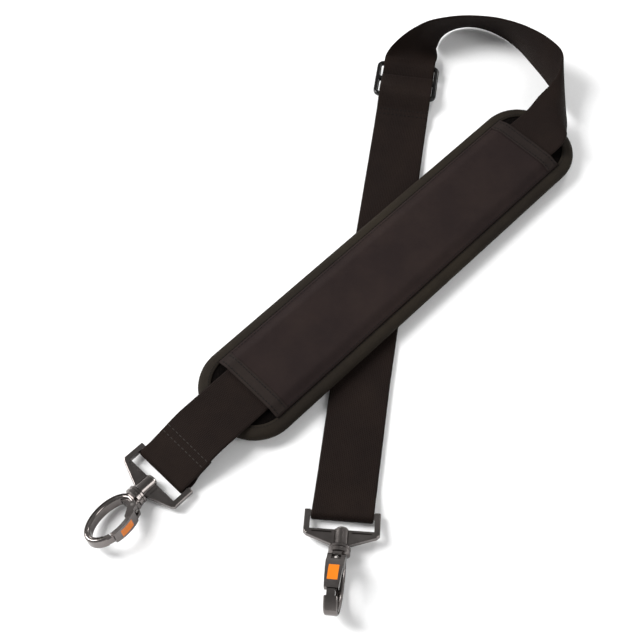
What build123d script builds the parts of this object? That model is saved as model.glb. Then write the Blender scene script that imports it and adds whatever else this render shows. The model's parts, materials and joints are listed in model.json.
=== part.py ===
from build123d import *

import math
import os

# A padded shoulder strap for an instrument, laid out on a table, in millimetres with +Z up.
# The layout frame below is moved so that the origin is under the middle of the footprint.
FOOTPRINT_MIDDLE = Vector(20.2, 360.2, 0.0)

# Webbing
WEB_WIDTH = 38.0
WEB_THICK = 1.8
LAYER_GAP = 0.2
HALF_WEB = WEB_THICK / 2
LAYER_PITCH = WEB_THICK + LAYER_GAP

# Slide adjuster: a frame of two rails and three bars
ADJUSTER_WIDTH = 46.5
ADJUSTER_LENGTH = 32.0
ADJUSTER_BAR = 3.2
ADJUSTER_BAR_PITCH = (ADJUSTER_LENGTH - ADJUSTER_BAR) / 2
ADJUSTER_CORNER = 5.0
ADJUSTER_ROUND = 1.0
ADJUSTER_WINDOW = WEB_WIDTH + 1.6
ADJUSTER_OFFSET = 0.5
ADJUSTER_CENTRE = Vector(65.0, 529.0, 0.0)

# The run of double webbing from hook B to the adjuster: two straight stretches, meeting under the pad
RUN_KNEE = Vector(28.4, 300.0, 0.0)
RUN_LOWER_HEADING = 82.0
RUN_UPPER_HEADING = 81.0
RUN_TO_BAR_B = 105.0

# Shoulder pad and the sleeve that the webbing runs through
PAD_CENTRE = Vector(51.5, 371.0, 0.0)
PAD_HEADING = 44.7
PAD_LENGTH = 330.0
PAD_WIDTH = 70.0
PAD_CORNER = 30.0
PAD_BOTTOM = 4.2
BINDING_THICK = 0.7
BINDING_WIDTH = 8.5
COVER_THICK = 0.8
FOAM_THICK = 5.8
SKIN_GAP = 0.05
SLEEVE_LENGTH = 273.0
SLEEVE_THICK = 0.8
SLEEVE_HALF_FLAT = 20.5
SLEEVE_HALF_FOOT = 28.5
HEM_LENGTH = 9.0
HEM_THICK = 0.7

# Loop frames, one in each end fold of the webbing
LOOP_WIDTH = 46.4
LOOP_INSIDE = 39.2
LOOP_BAR = 4.0
LOOP_THICK = 4.0
LOOP_WINDOW_END = 11.0
LOOP_CORNER = 14.6
LOOP_CHAMFER = 1.8
LOOP_ROUND = 0.7
LOOP_BOSS_END = 20.8
LOOP_BOSS_WIDTH = 9.6
RECESS_EDGE = 1.3
RECESS_DEPTH = 0.8
FOLD_CLEARANCE = 0.3
BAR_HEIGHT = LOOP_BAR / 2 + FOLD_CLEARANCE + WEB_THICK
FOLD_TO_PAD_MIDDLE = 207.5
LOOP_A_SKEW = 2.0
LOOP_B_SKEW = 3.8

# Swivel snap hooks, drawn along local +X with the ring in the local XY plane and the gate on +Y
STUD_RADIUS = 2.5
STUD_CLEARANCE = 0.4
STUD_HEAD_RADIUS = 3.7
STUD_HEAD_THICK = 1.7
STUD_PLAY = 0.4
CAP_RADIUS = 6.7
CAP_LENGTH = 6.2
CAP_GROOVE = 0.5
CAP_START = LOOP_BOSS_END + 0.5
RING_LENGTH = 38.2
RING_WIDTH = 24.0
RING_BAND = 3.8
RING_DEPTH = 8.4
RING_ROUND = 1.4
GROOVE_EDGE = 1.2
GROOVE_DEPTH = 0.6
RING_START = CAP_START + CAP_LENGTH - 1.6
RING_MIDDLE = RING_START + RING_LENGTH / 2
PIN_RADIUS = 1.0
PIN_CLEARANCE = 0.05
GATE_THICK = 2.6
GATE_ROOT_DEPTH = 11.0
GATE_TIP_DEPTH = 8.4
GATE_PIVOT = Vector(RING_START + 5.6, 5.9, 0.0)
GATE_REACH = 21.6
GATE_GAP = 0.35
NOSE_TONGUE = 3.4
NOSE_TONGUE_DEPTH = 5.0
BLOCK_LENGTH = 6.6
BLOCK_DEPTH = 5.0
BLOCK_EDGE = 2.2
GATE_SKIN = 0.3
CHEEK_RADIUS = 2.6
CHEEK_GAP = 0.15
STUD_SEAT = 3.0
LUG_DEPTH = 5.4
LUG_RADIUS = 1.9
SPRING_DEPTH = 2.6
INLAY_LENGTH = 9.5
INLAY_DEPTH = 6.2
INLAY_THICK = 0.6
INLAY_PLACE = 11.6

LOOP_TILT_A = 6.3
LOOP_TILT_B = 10.9
HOOK_LEAN_A = 4.0
HOOK_LEAN_B = -4.0
HOOK_ROLL_A = 16.0
HOOK_ROLL_B = 97.0

# Stitches
STITCH_LENGTH = 2.6
STITCH_WIDTH = 0.6
STITCH_RISE = 0.25
STITCH_PITCH = 3.2
STITCH_LIFT = 0.3
STITCHED_AT_HOOK_A = (15.5, 20.0)
STITCHED_PAST_LANDING = (-0.5, 4.0)

# The turn and the standing arc: the upper (outer) edge of the webbing, then the lower (inner) edge
TURN_EDGES = [
    ((148.0, 490.5, 19.5), (170.4, 459.2, 20.0)),
    ((157.5, 500.3, 23.5), (174.5, 466.8, 21.5)),
    ((166.7, 509.3, 26.5), (175.6, 473.5, 18.5)),
    ((172.9, 518.3, 29.0), (178.2, 485.0, 11.5)),
    ((175.9, 528.2, 32.0), (179.9, 502.7, 4.0)),
    ((174.3, 535.4, 34.5), (176.5, 518.0, 1.2)),
]
ARC_EDGES = [
    ((164.6, 544.7, 36.5), (169.2, 535.3, 0.9)),
    ((153.5, 552.8, 36.5), (161.6, 549.2, 0.9)),
    ((142.4, 558.9, 36.2), (152.8, 563.7, 0.9)),
    ((130.0, 564.3, 35.0), (141.5, 575.9, 0.9)),
    ((117.0, 567.0, 34.0), (127.5, 584.6, 0.9)),
    ((103.5, 567.5, 33.5), (114.0, 586.8, 0.9)),
    ((91.0, 565.5, 33.5), (102.0, 583.4, 0.9)),
    ((79.0, 562.0, 33.5), (94.0, 576.5, 0.9)),
    ((68.7, 557.5, 31.0), (89.8, 567.4, 0.9)),
    ((59.7, 553.9, 24.5), (88.2, 561.6, 3.0)),
]
SECTIONS_PER_STATION = 4
TAIL_A_END = 22.0
FOLD_LEG = 12.0
SPAN_JOIN = 25.0
SPAN_TOP = 34.0
SKEW_FADE = 40.0
LEAD_DISTANCE = 18.5
RUN_JOIN = -84.0
RUN_B_JOIN = 27.0
KNEE_EASE = 14.0
SEWN_PITCH = LAYER_PITCH + 0.1
BAR_CORNER = 1.85
SLOPE_AFTER_BAR = 38.0
LANDING_RADIUS = 8.0
TAIL_BEYOND_LANDING = 7.0


def heading_vector(degrees):
    """Unit vector in the table plane at an angle from +X."""
    return Vector(math.cos(math.radians(degrees)), math.sin(math.radians(degrees)), 0)


def side_vector(degrees):
    """Unit vector to the left of a heading."""
    return heading_vector(degrees + 90)


UP = Vector(0, 0, 1)


def smooth_points(points, per_span):
    """Points on a Catmull-Rom curve through the given points."""
    padded = [points[0] * 2 - points[1]] + points + [points[-1] * 2 - points[-2]]
    curve = []
    for i in range(1, len(padded) - 2):
        before, start, end, after = padded[i - 1:i + 3]
        for k in range(per_span):
            t = k / per_span
            bend = (before * 2 - start * 5 + end * 4 - after) * t * t
            swing = (start * 3 - before - end * 3 + after) * t * t * t
            curve.append((start * 2 + (end - before) * t + bend + swing) * 0.5)
    curve.append(points[-1])
    return curve


def band(sections):
    """A stretch of webbing as a ruled solid through neighbouring cross-sections."""
    return loft(sections, ruled=True)


def arc_profile(centre, radius, start, end, steps):
    """(distance, height) points on an arc, with angles in degrees from the heading's direction."""
    points = []
    for k in range(steps + 1):
        angle = math.radians(start + (end - start) * k / steps)
        points.append((centre[0] + radius * math.cos(angle), centre[1] + radius * math.sin(angle)))
    return points


def smooth_profile(points, per_span=5):
    """A smooth side profile through (distance, height) points."""
    curve = smooth_points([Vector(d, h, 0) for d, h in points], per_span)
    return [(p.X, p.Y) for p in curve]


# ---- heights that the pieces share ----

LAYER_1 = HALF_WEB
LAYER_2 = LAYER_1 + LAYER_PITCH
PAD_TOP = PAD_BOTTOM + 2 * BINDING_THICK + 2 * COVER_THICK + FOAM_THICK + 4 * SKIN_GAP
SPAN_HEIGHT = PAD_TOP + 0.3 + HALF_WEB
SLEEVE_TOP = SPAN_HEIGHT + HALF_WEB + 0.3 + SLEEVE_THICK
FOLD_RADIUS = LOOP_BAR / 2 + FOLD_CLEARANCE + HALF_WEB
CENTRE_BAR_WRAP = BAR_CORNER + 0.1 + HALF_WEB
OUTER_BAR_WRAP = BAR_CORNER + LAYER_GAP + HALF_WEB
FRAME_HEIGHT = LAYER_1 + CENTRE_BAR_WRAP + SEWN_PITCH

BAR_A = PAD_CENTRE - heading_vector(PAD_HEADING) * FOLD_TO_PAD_MIDDLE + UP * BAR_HEIGHT
BAR_B = RUN_KNEE - heading_vector(RUN_LOWER_HEADING) * RUN_TO_BAR_B + UP * BAR_HEIGHT


# ---- the strap's path: one continuous strip, from the sewn end at hook A to the one on the adjuster ----

class Strip:
    """Edge points of the strip, in order, with named places where it is divided into nodes."""

    def __init__(self):
        self.lefts = []
        self.rights = []
        self.marks = {}

    def add(self, left, right):
        self.lefts.append(left)
        self.rights.append(right)

    def add_profile(self, origin, heading, profile, skew=None):
        """Follow a side profile of (distance, height) points; skew turns the width, by distance."""
        start = Vector(origin.X, origin.Y, 0)
        for distance, height in profile:
            middle = start + heading_vector(heading) * distance + UP * height
            turn = skew(distance) if skew else 0.0
            half = side_vector(heading + turn) * (WEB_WIDTH / 2)
            self.add(middle + half, middle - half)

    def mark(self, name):
        """Name the last point as the place where one node ends and the next begins."""
        self.marks[name] = len(self.lefts) - 1

    def sections(self):
        """Rectangular cross-sections, square to the strip at each point."""
        faces = []
        last = len(self.lefts) - 1
        for i, (left, right) in enumerate(zip(self.lefts, self.rights)):
            ahead = min(i + 1, last)
            behind = max(i - 1, 0)
            forward = self.lefts[ahead] + self.rights[ahead] - left - right
            backward = left + right - self.lefts[behind] - self.rights[behind]
            along = forward.normalized() if backward.length < 1e-6 else backward.normalized()
            if 0 < i < last:
                along = forward.normalized() + backward.normalized()
            normal = along.cross(left - right).normalized() * HALF_WEB
            corners = [left + normal, left - normal, right - normal, right + normal]
            faces.append(Face(Wire.make_polygon(corners, close=True)))
        return faces


def skew_at_hook_b(distance):
    """Angle that the fold at hook B is pulled askew by, fading out along the run."""
    return LOOP_B_SKEW * max(0.0, 1 - abs(distance) / RUN_B_JOIN)


def skew_at_hook_a(distance):
    """Angle that the fold at hook A is pulled askew by, fading out towards the pad."""
    return LOOP_A_SKEW * max(0.0, 1 - abs(distance) / SKEW_FADE)


def span_height(distance):
    """Height of the shoulder span's middle above the table, by distance from bar A."""
    top = BAR_HEIGHT + FOLD_RADIUS
    part = min(max(distance / SPAN_TOP, 0.0), 1.0)
    return top + (SPAN_HEIGHT - top) * part * part * (3 - 2 * part)


def add_hook_a_end(strip):
    """The tail below the span, the fold round bar A, and the way up onto the pad and out of the sleeve."""
    around = arc_profile((0, BAR_HEIGHT), FOLD_RADIUS, 268, 90, 16)
    tail = [(d, span_height(d) - SEWN_PITCH) for d in (TAIL_A_END, 17.0, FOLD_LEG)]
    tail.append((FOLD_LEG * 0.5, BAR_HEIGHT - FOLD_RADIUS + 0.6))
    strip.add_profile(BAR_A, PAD_HEADING, smooth_profile(tail + [around[0]])[:-1] + around, skew_at_hook_a)
    near = [(k * SPAN_JOIN / 8, span_height(k * SPAN_JOIN / 8)) for k in range(1, 9)]
    strip.add_profile(BAR_A, PAD_HEADING, near, skew_at_hook_a)
    strip.mark("sewn_a")
    far = [(SPAN_JOIN + k * 3.0, span_height(SPAN_JOIN + k * 3.0)) for k in range(1, 6)]
    mouth = FOLD_TO_PAD_MIDDLE + SLEEVE_LENGTH / 2
    strip.add_profile(BAR_A, PAD_HEADING, far + [(mouth, SPAN_HEIGHT)], skew_at_hook_a)
    strip.mark("mouth")


def adjuster_point(distance, across, height):
    """A point given along the upper run, across it to the left, and above the table."""
    along = heading_vector(RUN_UPPER_HEADING) * distance
    return ADJUSTER_CENTRE + along + side_vector(RUN_UPPER_HEADING) * across + UP * height


def add_turn_and_arc(strip):
    """From the sleeve's mouth, rolled down and under, then on edge round to the adjuster."""
    crest = FRAME_HEIGHT + OUTER_BAR_WRAP
    pairs = [(strip.lefts[-1], strip.rights[-1])]
    pairs += [(Vector(*outer), Vector(*inner)) for outer, inner in TURN_EDGES + ARC_EDGES]
    half = WEB_WIDTH / 2
    pairs.append((adjuster_point(LEAD_DISTANCE, half, crest), adjuster_point(LEAD_DISTANCE, -half, crest)))
    lefts = smooth_points([p[0] for p in pairs], SECTIONS_PER_STATION)
    rights = smooth_points([p[1] for p in pairs], SECTIONS_PER_STATION)
    turn_end = len(TURN_EDGES) * SECTIONS_PER_STATION
    lead = (len(pairs) - 2) * SECTIONS_PER_STATION
    marks = {turn_end: "turn_end", lead: "lead"}
    for i in range(1, len(lefts)):
        middle = (lefts[i] + rights[i]) * 0.5
        reach = (lefts[i] - rights[i]).normalized() * half
        strip.add(middle + reach, middle - reach)
        if i in marks:
            strip.mark(marks[i])


def crossing_angle(radius_1, radius_2, spacing):
    """Slope of the line that crosses from one bar's wrap to the opposite side of the next bar's wrap."""
    return math.degrees(math.asin((radius_1 + radius_2) / spacing))


def descent(layers, from_angle):
    """Over the last bar and down to the table, with a number of layers below this one."""
    radius = OUTER_BAR_WRAP + layers * SEWN_PITCH
    landing = LANDING_RADIUS - layers * SEWN_PITCH
    slope = math.radians(SLOPE_AFTER_BAR)
    over = arc_profile((-ADJUSTER_BAR_PITCH, FRAME_HEIGHT), radius, from_angle, 90 + SLOPE_AFTER_BAR, 8)
    start = over[-1]
    ground = LAYER_1 + layers * SEWN_PITCH
    drop = start[1] - ground - landing * (1 - math.cos(slope))
    foot = start[0] - drop / math.tan(slope) - landing * math.sin(slope)
    return over + arc_profile((foot, ground + landing), landing, 270 + SLOPE_AFTER_BAR, 270, 5)


def add_wave(strip):
    """Over the first bar, under the centre bar and its sewn fold, and over the last bar."""
    pitch = ADJUSTER_BAR_PITCH
    under = FRAME_HEIGHT - LAYER_1
    slope = crossing_angle(OUTER_BAR_WRAP, under, pitch)
    profile = arc_profile((pitch, FRAME_HEIGHT), OUTER_BAR_WRAP, 90, 90 + slope, 6)
    profile += arc_profile((0, FRAME_HEIGHT), under, 270 + slope, 270 - slope, 10)
    profile += descent(0, 90 - slope)
    strip.add_profile(ADJUSTER_CENTRE, RUN_UPPER_HEADING, profile)
    strip.mark("wave_end")


def add_run(strip, outward, height):
    """One layer of the run between the adjuster's side of the pad and hook B, round the knee."""
    knee = (ADJUSTER_CENTRE - RUN_KNEE).dot(heading_vector(RUN_UPPER_HEADING))
    upper = [(RUN_JOIN, height), (KNEE_EASE - knee, height)]
    lower = [(RUN_TO_BAR_B - KNEE_EASE, height), (RUN_B_JOIN, height)]
    if outward:
        strip.add_profile(ADJUSTER_CENTRE, RUN_UPPER_HEADING, upper[:1])
        strip.mark("lower_run_start")
        strip.add_profile(ADJUSTER_CENTRE, RUN_UPPER_HEADING, upper[1:])
        strip.add_profile(BAR_B, RUN_LOWER_HEADING, lower)
    else:
        strip.add_profile(BAR_B, RUN_LOWER_HEADING, lower[::-1][1:])
        strip.add_profile(ADJUSTER_CENTRE, RUN_UPPER_HEADING, upper[::-1])


def add_hook_b_fold(strip):
    """Round bar B, from the bottom layer of the run to the top one."""
    around = arc_profile((0, BAR_HEIGHT), FOLD_RADIUS, 270, 82, 16)
    over = [around[-1], (7.0, BAR_HEIGHT + FOLD_RADIUS - 1.6), (14.0, LAYER_2 + 0.9)]
    over += [(20.0, LAYER_2), (RUN_B_JOIN, LAYER_2)]
    profile = around + smooth_profile(over)[1:]
    strip.add_profile(BAR_B, RUN_LOWER_HEADING, profile, skew_at_hook_b)


def add_sewn_end(strip):
    """The upper run's climb over the adjuster's last bar, round the centre bar, and the tail sewn below."""
    pitch = ADJUSTER_BAR_PITCH
    long_leg = descent(2, 90)[::-1]
    tail = descent(1, 90 - crossing_angle(CENTRE_BAR_WRAP, OUTER_BAR_WRAP + SEWN_PITCH, pitch))
    tail_end = long_leg[0][0] - TAIL_BEYOND_LANDING
    climb = [(RUN_JOIN + 20.0, LAYER_2), (tail_end - 9.0, LAYER_2), (tail_end - 1.0, LAYER_2 + 1.9)]
    climb.append((tail_end + 2.0, long_leg[0][1]))
    strip.add_profile(ADJUSTER_CENTRE, RUN_UPPER_HEADING, smooth_profile(climb + long_leg[:1])[:-1])
    strip.mark("upper_run_end")
    rise = (OUTER_BAR_WRAP + 2 * SEWN_PITCH - CENTRE_BAR_WRAP) / pitch
    slope = math.degrees(math.asin(rise))
    over_last = arc_profile((-pitch, FRAME_HEIGHT), OUTER_BAR_WRAP + 2 * SEWN_PITCH, 90, 90 - slope, 3)[1:]
    strip.add_profile(ADJUSTER_CENTRE, RUN_UPPER_HEADING, long_leg + over_last)
    under_slope = crossing_angle(CENTRE_BAR_WRAP, OUTER_BAR_WRAP + SEWN_PITCH, pitch)
    around = arc_profile((0, FRAME_HEIGHT), CENTRE_BAR_WRAP, 90 - slope, -90 - under_slope, 14)
    strip.add_profile(ADJUSTER_CENTRE, RUN_UPPER_HEADING, around + tail)
    strip.add_profile(ADJUSTER_CENTRE, RUN_UPPER_HEADING, [(tail_end, tail[-1][1])])


def whole_strip():
    """The strip from end to end."""
    strip = Strip()
    add_hook_a_end(strip)
    add_turn_and_arc(strip)
    strip.mark("lead_end")
    add_wave(strip)
    add_run(strip, True, LAYER_1)
    strip.mark("run_b")
    add_hook_b_fold(strip)
    strip.mark("fold_b_end")
    add_run(strip, False, LAYER_2)
    strip.mark("upper_run_start")
    add_sewn_end(strip)
    strip.mark("tail_end")
    return strip


# ---- stitches ----

def stitch_row(middle, heading, span, height):
    """A row of separate stitches across the webbing."""
    count = int(span / STITCH_PITCH)
    row = []
    for k in range(count):
        offset = (k - (count - 1) / 2) * STITCH_PITCH
        spot = middle + side_vector(heading) * offset + UP * (height + STITCH_RISE / 2)
        stitch = Box(STITCH_LENGTH, STITCH_WIDTH, STITCH_RISE)
        row.append(Pos(spot.X, spot.Y, spot.Z) * Rot(0, 0, heading + 90) * stitch)
    return row


def stitching_hook_a():
    """Two rows through the sewn fold at hook A."""
    rows = []
    for distance in STITCHED_AT_HOOK_A:
        middle = Vector(BAR_A.X, BAR_A.Y, 0) + heading_vector(PAD_HEADING) * distance
        height = span_height(distance) + HALF_WEB + STITCH_LIFT
        rows += stitch_row(middle, PAD_HEADING + skew_at_hook_a(distance), WEB_WIDTH - 5, height)
    return Compound(children=rows)


def stitching_adjuster():
    """Two rows through the sewn fold below the adjuster."""
    rows = []
    landing = descent(2, 90)[-1]
    for distance in STITCHED_PAST_LANDING:
        middle = ADJUSTER_CENTRE + heading_vector(RUN_UPPER_HEADING) * (landing[0] - distance)
        rows += stitch_row(middle, RUN_UPPER_HEADING, WEB_WIDTH - 3, landing[1] + HALF_WEB + STITCH_LIFT)
    return Compound(children=rows)


def stitching_sleeve_hems():
    """The row that closes each hem of the sleeve."""
    rows = []
    for end in (-1, 1):
        distance = end * (SLEEVE_LENGTH / 2 - HEM_LENGTH + 1.2)
        middle = PAD_CENTRE + heading_vector(PAD_HEADING) * distance
        height = SLEEVE_TOP + HEM_THICK + 2 * SKIN_GAP
        rows += stitch_row(middle, PAD_HEADING, 2 * SLEEVE_HALF_FLAT - 2, height)
    return Compound(children=rows)


# ---- adjuster frame ----

def adjuster_frame():
    """Two rails and three bars with rounded corners."""
    window = (ADJUSTER_LENGTH - 3 * ADJUSTER_BAR) / 2
    outline = RectangleRounded(ADJUSTER_LENGTH, ADJUSTER_WIDTH, ADJUSTER_CORNER)
    frame = extrude(outline, ADJUSTER_BAR / 2, both=True)
    for side in (-1, 1):
        middle = side * (window + ADJUSTER_BAR) / 2
        frame -= Pos(middle, 0, 0) * Box(window, ADJUSTER_WINDOW, ADJUSTER_BAR * 2)
    frame = fillet(frame.edges(), ADJUSTER_ROUND)
    spot = adjuster_point(0, ADJUSTER_OFFSET, FRAME_HEIGHT)
    return Pos(spot.X, spot.Y, spot.Z) * Rot(0, 0, RUN_UPPER_HEADING) * frame


# ---- pad ----

def on_pad(shape, height):
    """Place a shape drawn along local X on the pad's axis."""
    return Pos(PAD_CENTRE.X, PAD_CENTRE.Y, height) * Rot(0, 0, PAD_HEADING) * shape


def pad_plate(inset, thick):
    """A slab with the pad's outline, smaller by an inset all round."""
    outline = RectangleRounded(PAD_LENGTH - 2 * inset, PAD_WIDTH - 2 * inset, PAD_CORNER - inset)
    return extrude(outline, thick)


def pad_edge_binding():
    """A channel of tape folded over the edge of the pad all the way round."""
    full = pad_plate(0, PAD_TOP - PAD_BOTTOM)
    middle = Pos(0, 0, -1) * pad_plate(BINDING_WIDTH, PAD_TOP - PAD_BOTTOM + 2)
    inner = Pos(0, 0, BINDING_THICK) * pad_plate(BINDING_THICK, PAD_TOP - PAD_BOTTOM - 2 * BINDING_THICK)
    return on_pad(full - middle - inner, PAD_BOTTOM)


def sleeve_profile(lift, thick):
    """Cross-section of the sleeve panel: flat over the webbing and sloping to the pad at each side."""
    top = SLEEVE_TOP - SLEEVE_THICK + lift
    foot = PAD_TOP + SKIN_GAP + lift
    lower = [(-SLEEVE_HALF_FOOT, foot), (-SLEEVE_HALF_FLAT, top)]
    lower += [(-across, height) for across, height in lower[::-1]]
    upper = [(across, height + thick) for across, height in lower[::-1]]
    section = Plane(origin=(0, 0, 0), x_dir=(0, 1, 0), z_dir=(1, 0, 0))
    return section * make_face(Polyline(*(lower + upper), close=True))


def sleeve_panel():
    """The panel sewn over the pad, which the webbing runs under."""
    return on_pad(extrude(sleeve_profile(0, SLEEVE_THICK), SLEEVE_LENGTH / 2, both=True), 0)


def sleeve_hem(end):
    """The folded hem at one mouth of the sleeve."""
    strip = extrude(sleeve_profile(SLEEVE_THICK + SKIN_GAP, HEM_THICK), HEM_LENGTH / 2, both=True)
    return on_pad(Pos(end * (SLEEVE_LENGTH - HEM_LENGTH) / 2, 0, 0) * strip, 0)


# ---- loop frames and hooks, drawn from the bar at the origin, out along local +X ----

def loop_outline():
    """The loop's outline: side bars, cut corners, and a lower edge that slopes to the boss."""
    half = LOOP_WIDTH / 2
    boss = LOOP_BOSS_WIDTH / 2
    back = -LOOP_BAR / 2
    right = [(back, -half), (LOOP_CORNER - LOOP_CHAMFER, -half), (LOOP_CORNER, -half + LOOP_CHAMFER)]
    left = [(x, -y) for x, y in right[::-1]]
    return make_face(Polyline(*right, (LOOP_BOSS_END, -boss), (LOOP_BOSS_END, boss), *left, close=True))


def loop_recess(side, face):
    """A shallow triangular recess in one face of a gusset."""
    near = side * (LOOP_BOSS_WIDTH / 2 + RECESS_EDGE)
    far = side * (LOOP_INSIDE / 2 - RECESS_EDGE)
    top = LOOP_WINDOW_END + RECESS_EDGE
    corners = [(top, near), (LOOP_BOSS_END - 2 * RECESS_EDGE, near), (top + 0.8, far), (top, far)]
    recess = extrude(make_face(Polyline(*corners, close=True)), RECESS_DEPTH / 2, both=True)
    return Pos(0, 0, face * (LOOP_THICK - RECESS_DEPTH) / 2) * recess


def loop_frame():
    """A loop with a round bar, two side bars, and a gusseted lower bar with a boss for the stud."""
    frame = fillet(extrude(loop_outline(), LOOP_THICK / 2, both=True).edges(), LOOP_ROUND)
    window_length = LOOP_WINDOW_END - LOOP_BAR / 2
    window = Pos(LOOP_BAR / 2 + window_length / 2, 0, 0) * Box(window_length, LOOP_INSIDE, LOOP_THICK * 2)
    frame -= window
    frame -= Box(LOOP_BAR * 2, LOOP_INSIDE, LOOP_THICK * 2)
    for side in (-1, 1):
        for face in (-1, 1):
            frame -= loop_recess(side, face)
    frame += Rot(90, 0, 0) * Cylinder(LOOP_BAR / 2, LOOP_INSIDE + 1.0)
    boss_length = LOOP_BOSS_END - LOOP_WINDOW_END
    boss_place = Pos(LOOP_WINDOW_END + boss_length / 2, 0, 0) * Rot(0, 90, 0)
    frame += boss_place * Cylinder(LOOP_BOSS_WIDTH / 2, boss_length)
    frame -= boss_place * Cylinder(STUD_RADIUS + STUD_CLEARANCE, boss_length * 2)
    return frame


def turned(radius_profile):
    """A solid of revolution about local X from (distance, radius) points."""
    points = [(radius_profile[0][0], 0)] + radius_profile + [(radius_profile[-1][0], 0)]
    return revolve(make_face(Polyline(*points, close=True)), Axis.X)


def swivel_stud():
    """Domed head inside the loop, and a shank through the boss into the hook's cap."""
    head_face = LOOP_WINDOW_END - STUD_PLAY
    head = head_face - STUD_HEAD_THICK
    return turned([
        (head, STUD_HEAD_RADIUS * 0.6), (head + 0.5, STUD_HEAD_RADIUS * 0.9), (head + 0.9, STUD_HEAD_RADIUS),
        (head_face, STUD_HEAD_RADIUS), (head_face, STUD_RADIUS), (CAP_START + STUD_SEAT, STUD_RADIUS)])


def ring_outline(grow):
    """The oval of the hook's ring, grown or shrunk evenly."""
    return Pos(RING_MIDDLE, 0, 0) * Ellipse(RING_LENGTH / 2 + grow, RING_WIDTH / 2 + grow)


def about_pin(shape, height=0.0):
    """Place a shape drawn about the gate's pin."""
    return Pos(GATE_PIVOT.X, GATE_PIVOT.Y, height) * shape


def gate_side(start, reach, depth):
    """The space on the gate's side of the ring, from a distance past the pin out to a reach from it."""
    block = Pos(GATE_PIVOT.X + start + reach / 2, RING_WIDTH / 2 + 1.0, 0) * Box(reach, RING_WIDTH, depth)
    return block & about_pin(Cylinder(reach, depth))


def hinge_block():
    """The web that fills the ring's near end, between the gate's cheeks."""
    block = Box(BLOCK_LENGTH, RING_WIDTH / 2, BLOCK_DEPTH)
    place = Pos(RING_START + BLOCK_LENGTH / 2, BLOCK_EDGE - RING_WIDTH / 4, 0)
    return place * block & extrude(ring_outline(-1.0), BLOCK_DEPTH / 2, both=True)


def hook_body():
    """Turned cap, oval ring open on the gate side, a web, and a lug that carries the gate's pin."""
    cap_end = CAP_START + CAP_LENGTH
    waist = CAP_RADIUS - CAP_GROOVE
    cap = turned([
        (CAP_START, CAP_RADIUS - 0.9), (CAP_START + 0.8, CAP_RADIUS), (CAP_START + 2.0, CAP_RADIUS),
        (CAP_START + 2.3, waist), (CAP_START + 3.0, waist), (CAP_START + 3.3, CAP_RADIUS),
        (cap_end - 1.2, CAP_RADIUS), (cap_end, CAP_RADIUS - 1.6)])
    cap -= turned([(CAP_START - 1, STUD_RADIUS), (CAP_START + STUD_SEAT, STUD_RADIUS)])
    ring = extrude(ring_outline(0) - ring_outline(-RING_BAND), RING_DEPTH / 2, both=True)
    ring = fillet(ring.edges(), RING_ROUND)
    track = ring_outline(-GROOVE_EDGE) - ring_outline(GROOVE_EDGE - RING_BAND)
    groove = extrude(track, RING_DEPTH / 2, both=True)
    ring -= groove - extrude(ring_outline(0), RING_DEPTH / 2 - GROOVE_DEPTH, both=True)
    ring -= gate_side(0.0, GATE_REACH + GATE_GAP, RING_DEPTH * 2)
    notch_reach = GATE_REACH + GATE_GAP + NOSE_TONGUE
    ring -= gate_side(0.0, notch_reach, RING_DEPTH * 2) - gate_side(0.0, notch_reach, NOSE_TONGUE_DEPTH)
    ring -= Pos(CAP_START, 0, 0) * Rot(0, 90, 0) * Cylinder(CAP_RADIUS - 1, 2 * (CAP_LENGTH - 2.0))
    neck = make_face(Polyline(
        (-5.5, -2.6), (0.6, -1.8), (0.6, 1.6), (-4.0, 1.0), (-5.5, 0.0), close=True))
    lug = about_pin(extrude(neck, LUG_DEPTH / 2, both=True)) + about_pin(Cylinder(LUG_RADIUS, LUG_DEPTH))
    body = cap + ring + lug + hinge_block()
    body -= about_pin(Cylinder(PIN_RADIUS, RING_DEPTH * 2))
    body -= about_pin(Cylinder(LUG_RADIUS + 0.6, SPRING_DEPTH))
    for side in (-1, 1):
        body -= about_pin(Cylinder(CHEEK_RADIUS + 0.4, RING_DEPTH), side * (LUG_DEPTH + RING_DEPTH) / 2)
    return body


def gate_lever():
    """A curved lever that closes the ring, with two cheeks on the pin."""
    shell = ring_outline(GATE_SKIN) - ring_outline(GATE_SKIN - GATE_THICK)
    lever = extrude(shell, GATE_ROOT_DEPTH / 2, both=True)
    lever &= gate_side(LUG_RADIUS + 0.4, GATE_REACH, RING_WIDTH)
    lever &= about_pin(Cylinder(GATE_REACH, GATE_ROOT_DEPTH))
    half_root = GATE_ROOT_DEPTH / 2
    half_tip = GATE_TIP_DEPTH / 2
    taper_start = GATE_PIVOT.X + 5.0
    taper_end = GATE_PIVOT.X + GATE_REACH + 1.0
    side_view = Plane(origin=(0, 0, 0), x_dir=(1, 0, 0), z_dir=(0, -1, 0))
    cheek_depth = (GATE_ROOT_DEPTH - LUG_DEPTH) / 2 - CHEEK_GAP
    for side in (-1, 1):
        wedge = make_face(Polyline(
            (taper_start, side * half_root), (taper_end, side * half_tip),
            (taper_end, side * (half_root + 1)), (taper_start, side * (half_root + 1)), close=True))
        lever -= extrude(side_view * wedge, RING_WIDTH, both=True)
        height = side * (LUG_DEPTH / 2 + CHEEK_GAP + cheek_depth / 2)
        arm = make_face(Polyline((-0.6, 2.4), (1.6, -1.9), (8.5, 2.2), (6.0, 4.4), (3.0, 3.6), close=True))
        cheek = Cylinder(CHEEK_RADIUS, cheek_depth) + extrude(arm, cheek_depth / 2, both=True)
        lever += about_pin(cheek, height)
    lever -= about_pin(Cylinder(PIN_RADIUS + PIN_CLEARANCE, RING_DEPTH * 2))
    return lever - inlay_block()


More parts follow.
